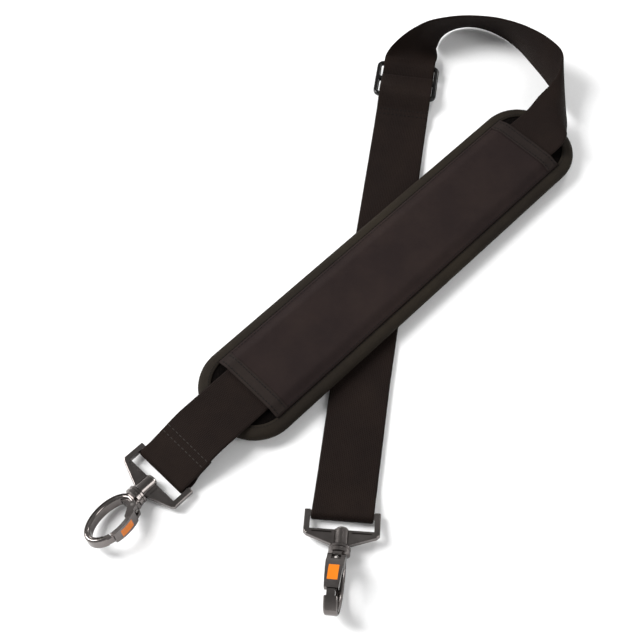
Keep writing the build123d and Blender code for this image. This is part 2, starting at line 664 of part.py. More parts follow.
def inlay_block():
    """The plain inlay, following the curve of the gate's outer face."""
    skin = ring_outline(GATE_SKIN) - ring_outline(GATE_SKIN - INLAY_THICK)
    block = extrude(skin, INLAY_DEPTH / 2, both=True)
    window = Box(INLAY_LENGTH, RING_WIDTH, INLAY_DEPTH)
    return block & Pos(GATE_PIVOT.X + INLAY_PLACE, RING_WIDTH / 2, 0) * window


def gate_pin():
    """The pin that the gate turns on."""
    return about_pin(Cylinder(PIN_RADIUS, GATE_ROOT_DEPTH))


def gate_spring():
    """The closing spring's coil, as a sleeve round the pin."""
    coil = Cylinder(LUG_RADIUS + 0.3, SPRING_DEPTH - 0.2)
    return about_pin(coil - Cylinder(PIN_RADIUS + 0.25, SPRING_DEPTH))


def place_loop(letter):
    """Location of a loop: out from its bar, with the boss end tilted up."""
    bar, heading, tilt = HOOKS[letter][:3]
    return Pos(bar.X, bar.Y, bar.Z) * Rot(0, 0, heading) * Rot(0, -tilt, 0)


def place_hook(letter):
    """Location of a hook: along its loop, leaning a little in the boss, and rolled about its own axis."""
    lean, roll = HOOKS[letter][3:]
    boss = Pos((LOOP_WINDOW_END + LOOP_BOSS_END) / 2, 0, 0)
    return place_loop(letter) * boss * Rot(0, 0, lean) * boss.inverse() * Rot(roll, 0, 0)


HOOKS = {
    "a": (BAR_A, PAD_HEADING + 180 + LOOP_A_SKEW, LOOP_TILT_A, HOOK_LEAN_A, HOOK_ROLL_A),
    "b": (BAR_B, RUN_LOWER_HEADING + 180 + LOOP_B_SKEW, LOOP_TILT_B, HOOK_LEAN_B, HOOK_ROLL_B),
}


def hook_nodes():
    """Both loops with their hooks, node by node."""
    nodes = {}
    for letter in HOOKS:
        rolled = place_hook(letter)
        nodes[f"loop_{letter}_frame"] = place_loop(letter) * loop_frame()
        nodes[f"hook_{letter}_stud"] = rolled * swivel_stud()
        nodes[f"hook_{letter}_body"] = rolled * hook_body()
        nodes[f"hook_{letter}_gate_pin"] = rolled * gate_pin()
        nodes[f"hook_{letter}_gate_spring"] = rolled * gate_spring()
        nodes[f"gate_{letter}_lever"] = rolled * gate_lever()
        nodes[f"gate_{letter}_inlay"] = rolled * inlay_block()
    return nodes


def webbing_nodes():
    """Every stretch of the webbing, and the rows sewn through it."""
    strip = whole_strip()
    sections = strip.sections()
    ends = [
        ("webbing_hook_a_fold", "sewn_a"), ("webbing_shoulder_span", "mouth"), ("webbing_turn", "turn_end"),
        ("webbing_arc", "lead"), ("webbing_adjuster_lead", "lead_end"), ("webbing_adjuster_wave", "wave_end"),
        ("webbing_lower_run_top", "lower_run_start"), ("webbing_lower_run", "run_b"),
        ("webbing_hook_b_fold", "fold_b_end"), ("webbing_upper_run", "upper_run_start"),
        ("webbing_upper_run_top", "upper_run_end"), ("webbing_adjuster_fold", "tail_end")]
    nodes = {"stitching_hook_a": stitching_hook_a(), "stitching_adjuster": stitching_adjuster()}
    start = 0
    for name, end_mark in ends:
        end = strip.marks[end_mark]
        nodes[name] = band(sections[start:end + 1])
        start = end
    return nodes


def pad_nodes():
    """The shoulder pad from its underside up."""
    base_height = PAD_BOTTOM + BINDING_THICK + SKIN_GAP
    foam_height = base_height + COVER_THICK + SKIN_GAP
    cover_height = foam_height + FOAM_THICK + SKIN_GAP
    return {
        "pad_edge_binding": pad_edge_binding(),
        "pad_base_cover": on_pad(pad_plate(1.0, COVER_THICK), base_height),
        "pad_foam_core": on_pad(pad_plate(2.5, FOAM_THICK), foam_height),
        "pad_top_cover": on_pad(pad_plate(1.0, COVER_THICK), cover_height),
        "sleeve_panel": sleeve_panel(),
        "sleeve_hem_a": sleeve_hem(-1),
        "sleeve_hem_b": sleeve_hem(1),
        "stitching_sleeve_hems": stitching_sleeve_hems(),
    }


def main():
    os.makedirs("parts", exist_ok=True)
    nodes = {"adjuster_frame": adjuster_frame()}
    nodes.update(webbing_nodes())
    nodes.update(pad_nodes())
    nodes.update(hook_nodes())
    shift = Pos(-FOOTPRINT_MIDDLE.X, -FOOTPRINT_MIDDLE.Y, 0)
    for name, shape in nodes.items():
        export_step(shift * shape, f"parts/{name}.step")
    print(len(nodes), "nodes")


main()
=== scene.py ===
import json
import math

import bmesh
import bpy
import numpy as np
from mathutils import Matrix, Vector, noise

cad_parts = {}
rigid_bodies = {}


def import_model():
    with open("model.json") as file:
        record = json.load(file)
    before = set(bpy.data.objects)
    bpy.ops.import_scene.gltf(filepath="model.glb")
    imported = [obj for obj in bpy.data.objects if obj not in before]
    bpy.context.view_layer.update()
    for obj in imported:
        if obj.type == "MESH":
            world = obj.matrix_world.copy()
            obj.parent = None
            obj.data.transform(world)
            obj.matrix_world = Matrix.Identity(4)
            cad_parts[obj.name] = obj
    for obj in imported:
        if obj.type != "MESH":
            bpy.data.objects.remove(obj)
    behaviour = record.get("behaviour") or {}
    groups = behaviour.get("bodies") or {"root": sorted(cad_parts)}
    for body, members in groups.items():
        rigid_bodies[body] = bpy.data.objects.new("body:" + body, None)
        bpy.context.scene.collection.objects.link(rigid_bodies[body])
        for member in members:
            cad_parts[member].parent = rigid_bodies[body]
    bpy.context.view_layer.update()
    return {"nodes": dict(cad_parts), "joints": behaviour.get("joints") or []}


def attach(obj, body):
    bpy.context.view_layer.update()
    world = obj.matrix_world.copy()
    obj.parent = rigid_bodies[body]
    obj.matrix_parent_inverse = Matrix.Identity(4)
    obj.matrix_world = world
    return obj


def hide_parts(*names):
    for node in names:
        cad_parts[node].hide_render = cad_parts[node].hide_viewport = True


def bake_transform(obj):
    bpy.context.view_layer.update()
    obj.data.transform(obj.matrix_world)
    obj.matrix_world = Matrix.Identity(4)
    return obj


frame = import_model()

MM = 0.001

# Lengths are in millimetres, in the CAD model's layout frame, and the webbing's route is the CAD's.
# row() turns a layout point into the row frame's metres.
FOOTPRINT_MIDDLE = np.array([20.2, 360.2, 0.0])
WEB_WIDTH = 38.0
WEB_THICK = 1.8
HALF_WEB = WEB_THICK / 2
LAYER_PITCH = WEB_THICK + 0.2
SEWN_PITCH = LAYER_PITCH + 0.1
LAYER_1 = HALF_WEB
LAYER_2 = LAYER_1 + LAYER_PITCH

# The slide adjuster: three bars across the strap, and how far the webbing's middle stays from theirs.
ADJUSTER_CENTRE = np.array([65.0, 529.0, 0.0])
ADJUSTER_PITCH = 14.4
BAR_CORNER = 1.85
CENTRE_BAR_WRAP = BAR_CORNER + 0.1 + HALF_WEB
OUTER_BAR_WRAP = BAR_CORNER + 0.2 + HALF_WEB
FRAME_HEIGHT = LAYER_1 + CENTRE_BAR_WRAP + SEWN_PITCH
SLOPE_AFTER_BAR = 38.0
LANDING_RADIUS = 8.0
TAIL_BEYOND_LANDING = 7.0
LEAD_DISTANCE = 18.5

# The doubled run from the adjuster to hook B, with a slight bend at its knee.
RUN_KNEE = np.array([28.4, 300.0, 0.0])
RUN_LOWER_HEADING = 82.0
RUN_UPPER_HEADING = 81.0
RUN_TO_BAR_B = 105.0
RUN_JOIN = -84.0
RUN_B_JOIN = 27.0
KNEE_EASE = 14.0

# The shoulder pad and the sleeve on its top.
PAD_CENTRE = np.array([51.5, 371.0, 0.0])
PAD_HEADING = 44.7
PAD_LENGTH = 330.0
PAD_WIDTH = 70.0
PAD_CORNER = 30.0
PAD_BOTTOM = 4.2
PAD_TOP = 13.2
SLEEVE_LENGTH = 273.0
HEM_LENGTH = 9.0
SPAN_HEIGHT = PAD_TOP + 0.3 + HALF_WEB

# The folds round the bars of the two hooks' loops, each pulled a little askew.
BAR_RADIUS = 2.0
FOLD_RADIUS = BAR_RADIUS + 0.3 + HALF_WEB
BAR_HEIGHT = 4.1
FOLD_TO_PAD_MIDDLE = 207.5
LOOP_A_SKEW = 2.0
LOOP_B_SKEW = 3.8
TAIL_A_END = 22.0
TAIL_A_MIDDLE = 17.0
FOLD_LEG = 12.0
SPAN_TOP = 34.0
SKEW_FADE = 40.0

# Left and right edge of the webbing as it rolls from the sleeve's mouth on to its edge.
TURN_EDGES = [
    ((148.0, 490.5, 19.5), (170.4, 459.2, 20.0)),
    ((157.5, 500.3, 23.5), (174.5, 466.8, 21.5)),
    ((166.7, 509.3, 26.5), (175.6, 473.5, 18.5)),
    ((172.9, 518.3, 29.0), (178.2, 485.0, 11.5)),
    ((175.9, 528.2, 32.0), (179.9, 502.7, 4.0)),
    ((174.3, 535.4, 34.5), (176.5, 518.0, 1.2)),
]
# The same for the arc, where the left edge is uppermost.
ARC_EDGES = [
    ((164.6, 544.7, 36.5), (169.2, 535.3, 0.9)),
    ((153.5, 552.8, 36.5), (161.6, 549.2, 0.9)),
    ((142.4, 558.9, 36.2), (152.8, 563.7, 0.9)),
    ((130.0, 564.3, 35.0), (141.5, 575.9, 0.9)),
    ((117.0, 567.0, 34.0), (127.5, 584.6, 0.9)),
    ((103.5, 567.5, 33.5), (114.0, 586.8, 0.9)),
    ((91.0, 565.5, 33.5), (102.0, 583.4, 0.9)),
    ((79.0, 562.0, 33.5), (94.0, 576.5, 0.9)),
    ((68.7, 557.5, 31.0), (89.8, 567.4, 0.9)),
    ((59.7, 553.9, 24.5), (88.2, 561.6, 3.0)),
]
# The shoulder webbing is cut at this pair of the arc, and the lead into the adjuster begins.
ARC_CUT = 6
ARC_STEPS = 12
PROFILE_STEPS = 10
UP = np.array([0.0, 0.0, 1.0])


def heading_vector(degrees):
    """Unit vector in the table plane at an angle from +X."""
    return np.array([math.cos(math.radians(degrees)), math.sin(math.radians(degrees)), 0.0])


def side_vector(degrees):
    """Unit vector to the left of a heading."""
    return heading_vector(degrees + 90)


BAR_A = PAD_CENTRE - heading_vector(PAD_HEADING) * FOLD_TO_PAD_MIDDLE
BAR_B = RUN_KNEE - heading_vector(RUN_LOWER_HEADING) * RUN_TO_BAR_B


def row(point):
    """A layout point in millimetres, as a point of the row frame in metres."""
    return (np.asarray(point, float) - FOOTPRINT_MIDDLE) * MM


# ---- the strap's route ----

def smooth_points(points, per_span):
    """Points on a Catmull-Rom curve through the given points."""
    points = [np.asarray(p, float) for p in points]
    padded = [points[0] * 2 - points[1]] + points + [points[-1] * 2 - points[-2]]
    curve = []
    for i in range(1, len(padded) - 2):
        before, start, end, after = padded[i - 1:i + 3]
        for k in range(per_span):
            t = k / per_span
            bend = (2 * before - 5 * start + 4 * end - after) * t * t
            swing = (3 * start - before - 3 * end + after) * t ** 3
            curve.append(0.5 * (2 * start + (end - before) * t + bend + swing))
    curve.append(points[-1])
    return curve


def smooth_profile(points):
    """A smooth (distance, height) curve through the given points."""
    return [tuple(p) for p in smooth_points(points, PROFILE_STEPS)]


def arc_profile(centre, radius, start, end, steps):
    """(distance, height) points on an arc, with angles in degrees from the heading's direction."""
    angles = np.radians(np.linspace(start, end, steps + 1))
    return [(centre[0] + radius * math.cos(a), centre[1] + radius * math.sin(a)) for a in angles]


class Strip:
    """Edge points of the webbing, in order, with named places."""

    def __init__(self):
        self.lefts = []
        self.rights = []
        self.marks = {}

    def add(self, left, right):
        """One more pair of edge points."""
        self.lefts.append(np.asarray(left, float))
        self.rights.append(np.asarray(right, float))

    def add_profile(self, origin, heading, profile, skew=None):
        """Pairs along a heading, from a side view of (distance, height) points."""
        for distance, height in profile:
            middle = origin * [1, 1, 0] + heading_vector(heading) * distance + UP * height
            turn = skew(distance) if skew else 0.0
            half = side_vector(heading + turn) * (WEB_WIDTH / 2)
            self.add(middle + half, middle - half)

    def mark(self, name):
        """Name the last pair."""
        self.marks[name] = len(self.lefts) - 1


def skew_at_hook_a(distance):
    """Angle that the fold at hook A is pulled askew by, fading out towards the pad."""
    return LOOP_A_SKEW * max(0.0, 1 - abs(distance) / SKEW_FADE)


def skew_at_hook_b(distance):
    """Angle that the fold at hook B is pulled askew by, fading out along the run."""
    return LOOP_B_SKEW * max(0.0, 1 - abs(distance) / RUN_B_JOIN)


def span_height(distance):
    """Height of the shoulder span's middle, by distance from bar A."""
    top = BAR_HEIGHT + FOLD_RADIUS
    part = min(max(distance / SPAN_TOP, 0.0), 1.0)
    return top + (SPAN_HEIGHT - top) * part * part * (3 - 2 * part)


def add_hook_a_end(strip):
    """From the sewn tail, round bar A and along the top to the sleeve's mouth."""
    around = arc_profile((0, BAR_HEIGHT), FOLD_RADIUS, 268, 90, steps=28)
    tail = [(d, span_height(d) - SEWN_PITCH) for d in (TAIL_A_END, TAIL_A_MIDDLE, FOLD_LEG)]
    tail.append((FOLD_LEG * 0.5, BAR_HEIGHT - FOLD_RADIUS + 0.6))
    profile = smooth_profile(tail + [around[0]])[:-1] + around
    profile += [(d, span_height(d)) for d in np.arange(1.0, SKEW_FADE + 1, 1.0)]
    profile.append((FOLD_TO_PAD_MIDDLE + SLEEVE_LENGTH / 2, SPAN_HEIGHT))
    strip.add_profile(BAR_A, PAD_HEADING, profile, skew_at_hook_a)


def adjuster_point(distance, across, height):
    """A layout point, from its place along and across the strap at the adjuster."""
    along = heading_vector(RUN_UPPER_HEADING) * distance
    return ADJUSTER_CENTRE + along + side_vector(RUN_UPPER_HEADING) * across + UP * height


def add_turn_and_arc(strip):
    """From the sleeve's mouth, rolled down and under, then on edge round to the adjuster."""
    crest = FRAME_HEIGHT + OUTER_BAR_WRAP
    half = WEB_WIDTH / 2
    pairs = [(strip.lefts[-1], strip.rights[-1])] + TURN_EDGES + ARC_EDGES
    pairs.append((adjuster_point(LEAD_DISTANCE, half, crest), adjuster_point(LEAD_DISTANCE, -half, crest)))
    lefts = smooth_points([left for left, _ in pairs], ARC_STEPS)
    rights = smooth_points([right for _, right in pairs], ARC_STEPS)
    for i in range(1, len(lefts)):
        middle = (lefts[i] + rights[i]) / 2
        reach = (lefts[i] - rights[i]) / np.linalg.norm(lefts[i] - rights[i]) * half
        strip.add(middle + reach, middle - reach)
        if i == (1 + len(TURN_EDGES) + ARC_CUT) * ARC_STEPS:
            strip.mark("arc_cut")


def crossing_angle(radius_1, radius_2):
    """Slope of the webbing where it crosses from over one bar to under the next, in degrees."""
    return math.degrees(math.asin((radius_1 + radius_2) / ADJUSTER_PITCH))


def descent(layers, from_angle):
    """Over the last bar and down to the table, with a number of layers below this one."""
    radius = OUTER_BAR_WRAP + layers * SEWN_PITCH
    landing = LANDING_RADIUS - layers * SEWN_PITCH
    slope = math.radians(SLOPE_AFTER_BAR)
    over = arc_profile((-ADJUSTER_PITCH, FRAME_HEIGHT), radius, from_angle, 90 + SLOPE_AFTER_BAR, steps=14)
    start = over[-1]
    ground = LAYER_1 + layers * SEWN_PITCH
    drop = start[1] - ground - landing * (1 - math.cos(slope))
    foot = start[0] - drop / math.tan(slope) - landing * math.sin(slope)
    return over + arc_profile((foot, ground + landing), landing, 270 + SLOPE_AFTER_BAR, 270, steps=10)


def add_wave(strip):
    """Over the first bar, under the centre bar and its sewn fold, and over the last bar."""
    under = FRAME_HEIGHT - LAYER_1
    slope = crossing_angle(OUTER_BAR_WRAP, under)
    profile = arc_profile((ADJUSTER_PITCH, FRAME_HEIGHT), OUTER_BAR_WRAP, 90, 90 + slope, steps=10)
    profile += arc_profile((0, FRAME_HEIGHT), under, 270 + slope, 270, steps=8)
    strip.add_profile(ADJUSTER_CENTRE, RUN_UPPER_HEADING, profile)
    strip.mark("wave_cut")
    profile = arc_profile((0, FRAME_HEIGHT), under, 269, 270 - slope, steps=8) + descent(0, 90 - slope)
    strip.add_profile(ADJUSTER_CENTRE, RUN_UPPER_HEADING, profile)


def add_run(strip, outward, height):
    """One layer of the doubled run, from the adjuster to bar B when outward, and else back."""
    knee = float((ADJUSTER_CENTRE - RUN_KNEE) @ heading_vector(RUN_UPPER_HEADING))
    upper = [(RUN_JOIN, height), (KNEE_EASE - knee, height)]
    lower = [(RUN_TO_BAR_B - KNEE_EASE, height), (RUN_B_JOIN, height)]
    if outward:
        strip.add_profile(ADJUSTER_CENTRE, RUN_UPPER_HEADING, upper)
        strip.add_profile(BAR_B, RUN_LOWER_HEADING, lower)
    else:
        strip.add_profile(BAR_B, RUN_LOWER_HEADING, lower[::-1][1:])
        strip.add_profile(ADJUSTER_CENTRE, RUN_UPPER_HEADING, upper[::-1])


def add_hook_b_fold(strip):
    """Round bar B and down on to the layer below."""
    around = arc_profile((0, BAR_HEIGHT), FOLD_RADIUS, 270, 82, steps=28)
    over = [(7.0, BAR_HEIGHT + FOLD_RADIUS - 1.6), (14.0, LAYER_2 + 0.9), (20.0, LAYER_2)]
    over.append((RUN_B_JOIN, LAYER_2))
    profile = around + smooth_profile([around[-1]] + over)[1:]
    strip.add_profile(BAR_B, RUN_LOWER_HEADING, profile, skew_at_hook_b)


def add_sewn_end(strip):
    """Up over the adjuster's last bar, round the centre bar, and the tail sewn below."""
    long_leg = descent(2, 90)[::-1]
    tail_angle = crossing_angle(CENTRE_BAR_WRAP, OUTER_BAR_WRAP + SEWN_PITCH)
    tail = descent(1, 90 - tail_angle)
    tail_end = long_leg[0][0] - TAIL_BEYOND_LANDING
    climb = [(RUN_JOIN + 20.0, LAYER_2), (tail_end - 9.0, LAYER_2), (tail_end - 1.0, LAYER_2 + 1.9)]
    climb += [(tail_end + 2.0, long_leg[0][1]), long_leg[0]]
    outer = OUTER_BAR_WRAP + 2 * SEWN_PITCH
    slope = math.degrees(math.asin((outer - CENTRE_BAR_WRAP) / ADJUSTER_PITCH))
    profile = smooth_profile(climb)[:-1] + long_leg
    profile += arc_profile((-ADJUSTER_PITCH, FRAME_HEIGHT), outer, 90, 90 - slope, steps=5)[1:]
    profile += arc_profile((0, FRAME_HEIGHT), CENTRE_BAR_WRAP, 90 - slope, -90 - tail_angle, steps=24)
    profile += tail + [(tail_end, tail[-1][1])]
    strip.add_profile(ADJUSTER_CENTRE, RUN_UPPER_HEADING, profile)


def whole_strip():
    """The strap from its sewn tail at hook A to its sewn end at the adjuster."""
    strip = Strip()
    add_hook_a_end(strip)
    add_turn_and_arc(strip)
    add_wave(strip)
    add_run(strip, True, LAYER_1)
    add_hook_b_fold(strip)
    add_run(strip, False, LAYER_2)
    add_sewn_end(strip)
    return strip


# ---- mesh helpers ----

def new_object(name, mesh, material):
    """An object in the scene with one material."""
    piece = bpy.data.objects.new(name, mesh)
    bpy.context.scene.collection.objects.link(piece)
    mesh.materials.append(material)
    return piece


def shade_smooth(mesh):
    """Smooth shading on every face."""
    mesh.polygons.foreach_set("use_smooth", [True] * len(mesh.polygons))


def coordinates(mesh):
    """The mesh's points as an array."""
    flat = np.zeros(len(mesh.vertices) * 3)
    mesh.vertices.foreach_get("co", flat)
    return flat.reshape(-1, 3)


def tube_mesh(name, points, uvs, material, normals=None, caps=True):
    """A tube from closed rings of points (rings, columns, 3) in layout millimetres.

    The UVs are in metres, with one column more than the points for the seam. The caps are flat.
    """
    rings, columns = points.shape[:2]
    faces = []
    face_uvs = []
    for i in range(rings - 1):
        for j in range(columns):
            k = (j + 1) % columns
            faces.append((i * columns + j, i * columns + k, (i + 1) * columns + k, (i + 1) * columns + j))
            face_uvs += [uvs[i, j], uvs[i, j + 1], uvs[i + 1, j + 1], uvs[i + 1, j]]
    if caps:
        for i, order in ((0, -1), (rings - 1, 1)):
            faces.append(tuple(range(i * columns, (i + 1) * columns))[::order])
            face_uvs += list(uvs[i, :columns])[::order]
    mesh = bpy.data.meshes.new(name)
    mesh.from_pydata(row(points.reshape(-1, 3)).tolist(), [], faces)
    layer = mesh.uv_layers.new(name="UVMap")
    layer.data.foreach_set("uv", np.asarray(face_uvs, np.float32).ravel())
    bm = bmesh.new()
    bm.from_mesh(mesh)
    bmesh.ops.recalc_face_normals(bm, faces=bm.faces)
    bm.to_mesh(mesh)
    bm.free()
    mesh.polygons.foreach_set("use_smooth", [len(face) == 4 for face in faces])
    mesh.update()
    if normals is not None:
        mesh.normals_split_custom_set_from_vertices(normals.reshape(-1, 3).tolist())
    return new_object(name, mesh, material)


def cumulative(points):
    """Distance along a line of points, from the first."""
    steps = np.linalg.norm(np.diff(points, axis=0), axis=1)
    return np.concatenate([[0.0], np.cumsum(steps)])


def resample(points, positions, wanted):
    """Points at the wanted distances along a line."""
    return np.stack([np.interp(wanted, positions, points[:, k]) for k in range(3)], axis=1)


def unit(vectors):
    """Vectors of length one."""
    return vectors / np.maximum(np.linalg.norm(vectors, axis=-1, keepdims=True), 1e-12)


def wander(x, y, seed):
    """Smooth noise from -1 to 1, the same at every run."""
    return noise.noise(Vector((x, y, seed)))


# ---- materials ----

class Nodes:
    """A short way to write a material's nodes."""

    def __init__(self, name):
        self.material = bpy.data.materials.new(name)
        self.material.use_nodes = True
        self.tree = self.material.node_tree
        self.shader = self.tree.nodes["Principled BSDF"]

    def link(self, a, b):
        """A wire from an output to an input."""
        self.tree.links.new(a, b)

    def math(self, operation, a, b=None, clamp=False):
        """One step of arithmetic; each value is a number or another node's output."""
        node = self.tree.nodes.new("ShaderNodeMath")
        node.operation = operation
        node.use_clamp = clamp
        for socket, value in zip(node.inputs, (a, b)):
            if value is None:
                continue
            if isinstance(value, (int, float)):
                socket.default_value = value
            else:
                self.link(value, socket)
        return node.outputs[0]

    def mix(self, factor, a, b):
        """A colour between two."""
        node = self.tree.nodes.new("ShaderNodeMix")
        node.data_type = "RGBA"
        for socket, value in ((node.inputs[0], factor), (node.inputs[6], a), (node.inputs[7], b)):
            if isinstance(value, (int, float)):
                socket.default_value = value
            elif isinstance(value, tuple):
                socket.default_value = (*value, 1.0)
            else:
                self.link(value, socket)
        return node.outputs[2]

    def noise(self, scale, detail=3.0, roughness=0.5):
        """Cloudy noise through the piece."""
        node = self.tree.nodes.new("ShaderNodeTexNoise")
        node.inputs["Scale"].default_value = scale
        node.inputs["Detail"].default_value = detail
        node.inputs["Roughness"].default_value = roughness
        self.link(self.position(), node.inputs["Vector"])
        return node.outputs["Fac"]

    def position(self):
        """Place on the piece, in metres."""
        return self.tree.nodes.new("ShaderNodeTexCoord").outputs["Object"]

    def uv(self):
        """The two UV coordinates, in metres on the fabric."""
        node = self.tree.nodes.new("ShaderNodeSeparateXYZ")
        self.link(self.tree.nodes.new("ShaderNodeTexCoord").outputs["UV"], node.inputs[0])
        return node.outputs[0], node.outputs[1]

    def bump(self, height, distance, strength):
        """Relief on the surface, with its depth in metres."""
        node = self.tree.nodes.new("ShaderNodeBump")
        node.inputs["Distance"].default_value = distance
        node.inputs["Strength"].default_value = strength
        self.link(height, node.inputs["Height"])
        self.link(node.outputs[0], self.shader.inputs["Normal"])

    def ramp(self, value, low, high):
        """A value from 0 to 1, spread from low to high."""
        node = self.tree.nodes.new("ShaderNodeMapRange")
        node.inputs["To Min"].default_value = low
        node.inputs["To Max"].default_value = high
        self.link(value, node.inputs["Value"])
        return node.outputs[0]

    def set(self, **values):
        """Constants on the shader's own sockets."""
        for key, value in values.items():
            self.shader.inputs[key.replace("_", " ")].default_value = value


# The scales are in cycles per metre. UV_SHIFT keeps the yarns' numbers above zero, and FADE is how much paler
# rubbed cloth is.
FIBRE_SCALE = 2600.0
PATCH_SCALE = 38.0
RUB_SCALE = 22.0
PICK_OFFSET = 0.5
UV_SHIFT = 4096.0
FADE = (1.12, 1.12, 1.0)
SHEEN_TINT = (1.0, 0.88, 0.82, 1.0)


def woven(name, dark, light, warp, weft, depth, roughness):
    """Cloth of crossing yarns: warp and weft are the yarns' pitches in metres, read along the UVs."""
    m = Nodes(name)
    u, v = m.uv()
    column = m.math("DIVIDE", u, warp)
    odd = m.math("MODULO", m.math("FLOOR", m.math("ADD", column, UV_SHIFT)), 2.0)
    along = m.math("ADD", m.math("DIVIDE", v, weft), m.math("MULTIPLY", odd, PICK_OFFSET))
    rib = m.math("ABSOLUTE", m.math("SINE", m.math("MULTIPLY", column, math.pi)))
    pick = m.math("ABSOLUTE", m.math("SINE", m.math("MULTIPLY", along, math.pi)))
    yarn = m.math("ADD", m.math("MULTIPLY", pick, 0.55), 0.45)
    yarn = m.math("MULTIPLY", m.math("POWER", rib, 0.6), yarn)
    fibres = m.noise(FIBRE_SCALE, 2.0)
    m.bump(m.math("ADD", yarn, m.math("MULTIPLY", fibres, 0.25)), depth, 0.9)
    patches = m.noise(PATCH_SCALE, 4.0, 0.6)
    # The colour follows the yarns' height as well as random patches: painted shade darkens the grooves
    # between the yarns.
    groove_shade_and_tone = m.math("ADD", m.math("MULTIPLY", yarn, 0.62), m.math("MULTIPLY", patches, 0.38), clamp=True)
    rubbed = m.math("MULTIPLY", m.ramp(m.noise(RUB_SCALE, 6.0, 0.7), -1.8, 2.6), 0.5, clamp=True)
    faded = tuple(c * k for c, k in zip(light, FADE))
    m.link(m.mix(rubbed, m.mix(groove_shade_and_tone, dark, light), faded), m.shader.inputs["Base Color"])
    matt = m.math("ADD", m.math("MULTIPLY", yarn, -0.4), patches)
    m.link(m.ramp(matt, roughness - 0.1, roughness + 0.08), m.shader.inputs["Roughness"])
    m.set(Sheen_Weight=0.01, Sheen_Roughness=0.4, Sheen_Tint=SHEEN_TINT, Specular_IOR_Level=0.06)
    return m.material


def knitted(name, dark, light):
    """The pad's own cover: a textured spacer fabric with small raised cells."""
    m = Nodes(name)
    cells = m.tree.nodes.new("ShaderNodeTexVoronoi")
    cells.inputs["Scale"].default_value = 620.0
    cells.inputs["Randomness"].default_value = 0.35
    m.link(m.position(), cells.inputs["Vector"])
    dome = m.math("SUBTRACT", 1.0, cells.outputs["Distance"])
    height = m.math("ADD", dome, m.math("MULTIPLY", m.noise(2400.0, 2.0), 0.3))
    m.bump(height, 0.0005, 0.9)
    # The colour follows each cell's dome: painted shade darkens the cloth between the raised cells.
    m.link(m.mix(m.math("POWER", dome, 2.0), dark, light), m.shader.inputs["Base Color"])
    m.set(Roughness=0.9, Specular_IOR_Level=0.03)
    return m.material


def thread(name, colour):
    """Twisted sewing thread."""
    m = Nodes(name)
    twist = m.noise(3200.0, 1.0)
    m.bump(twist, 0.0002, 0.6)
    m.link(m.mix(twist, tuple(c * 0.6 for c in colour), colour), m.shader.inputs["Base Color"])
    m.set(Roughness=0.6, Specular_IOR_Level=0.12)
    return m.material


def plated(name, dark, light, roughness, wear):
    """Polished dark plating over a die casting: slight waviness, faint scuffs."""
    m = Nodes(name)
    cloud = m.noise(90.0, 4.0, 0.6)
    fine = m.noise(1500.0, 3.0, 0.65)
    m.link(m.mix(cloud, dark, light), m.shader.inputs["Base Color"])
    scuff = m.math("MULTIPLY", m.math("POWER", fine, 3.0), wear)
    polish = m.ramp(cloud, roughness - 0.04, roughness + 0.06)
    m.link(m.math("ADD", polish, scuff), m.shader.inputs["Roughness"])
    m.bump(m.noise(75.0, 1.0, 0.4), 0.0003, 0.2)
    m.set(Metallic=1.0)
    return m.material


MOULD_GRAIN = 0.00003
MOULD_GLOSS = 0.3


def moulded(name, colour, roughness):
    """Injection-moulded plastic or enamel."""
    m = Nodes(name)
    cloud = m.noise(140.0, 3.0)
    m.link(m.mix(cloud, tuple(c * 0.8 for c in colour), colour), m.shader.inputs["Base Color"])
    m.link(m.ramp(cloud, roughness - 0.04, roughness + 0.06), m.shader.inputs["Roughness"])
    m.bump(m.noise(2200.0, 2.0), MOULD_GRAIN, 0.4)
    m.set(Specular_IOR_Level=MOULD_GLOSS)
    return m.material


WEBBING = woven("webbing_weave", (0.0032, 0.0018, 0.0014), (0.0120, 0.0074, 0.0062),
                warp=0.00115, weft=0.00125, depth=0.00028, roughness=0.75)
SLEEVE = woven("sleeve_weave", (0.0078, 0.0050, 0.0048), (0.0205, 0.0136, 0.0130),
               warp=0.00062, weft=0.00058, depth=0.00014, roughness=0.8)
BINDING = woven("binding_weave", (0.0066, 0.0050, 0.0038), (0.0200, 0.0156, 0.0118),
                warp=0.0007, weft=0.0011, depth=0.00018, roughness=0.75)
HEM = woven("hem_weave", (0.0080, 0.0056, 0.0050), (0.0215, 0.0160, 0.0145),
            warp=0.00062, weft=0.00058, depth=0.00014, roughness=0.8)
COVER = knitted("pad_cover_knit", (0.0012, 0.0009, 0.0008), (0.0062, 0.0044, 0.0038))
THREAD_DARK = thread("thread_dark", (0.0018, 0.0013, 0.0011))
THREAD_LIGHT = thread("thread_light", (0.034, 0.029, 0.026))
HOOK_METAL = plated("hook_plating", (0.100, 0.088, 0.084), (0.225, 0.205, 0.196), roughness=0.13, wear=0.2)
PIN_METAL = plated("pin_steel", (0.22, 0.205, 0.195), (0.34, 0.32, 0.305), roughness=0.16, wear=0.3)
ADJUSTER = moulded("adjuster_gloss", (0.004, 0.0035, 0.0035), roughness=0.13)
INLAY = moulded("inlay_enamel", (0.68, 0.175, 0.008), roughness=0.22)


# ---- webbing ----

# Upper half of the webbing's section, as (across, height): flat, with a thicker selvedge at each edge.
SECTION_HALF = [
    (-19.0, 0.0), (-18.85, 0.42), (-18.4, 0.72), (-17.6, 0.86), (-16.4, 0.80), (-13.0, 0.80),
    (-9.0, 0.80), (-4.5, 0.80), (0.0, 0.80), (4.5, 0.80), (9.0, 0.80), (13.0, 0.80),
    (16.4, 0.80), (17.6, 0.86), (18.4, 0.72), (18.85, 0.42), (19.0, 0.0)]
STRIP_SPACING = 1.2
LOWEST = 0.05
LIFT, LIFT_LENGTH = 0.16, 34.0
RIPPLE, RIPPLE_LENGTH, RIPPLE_WIDTH = 0.12, 17.0, 12.0
UNEVEN_EDGE, EDGE_LENGTH = 0.004, 9.0


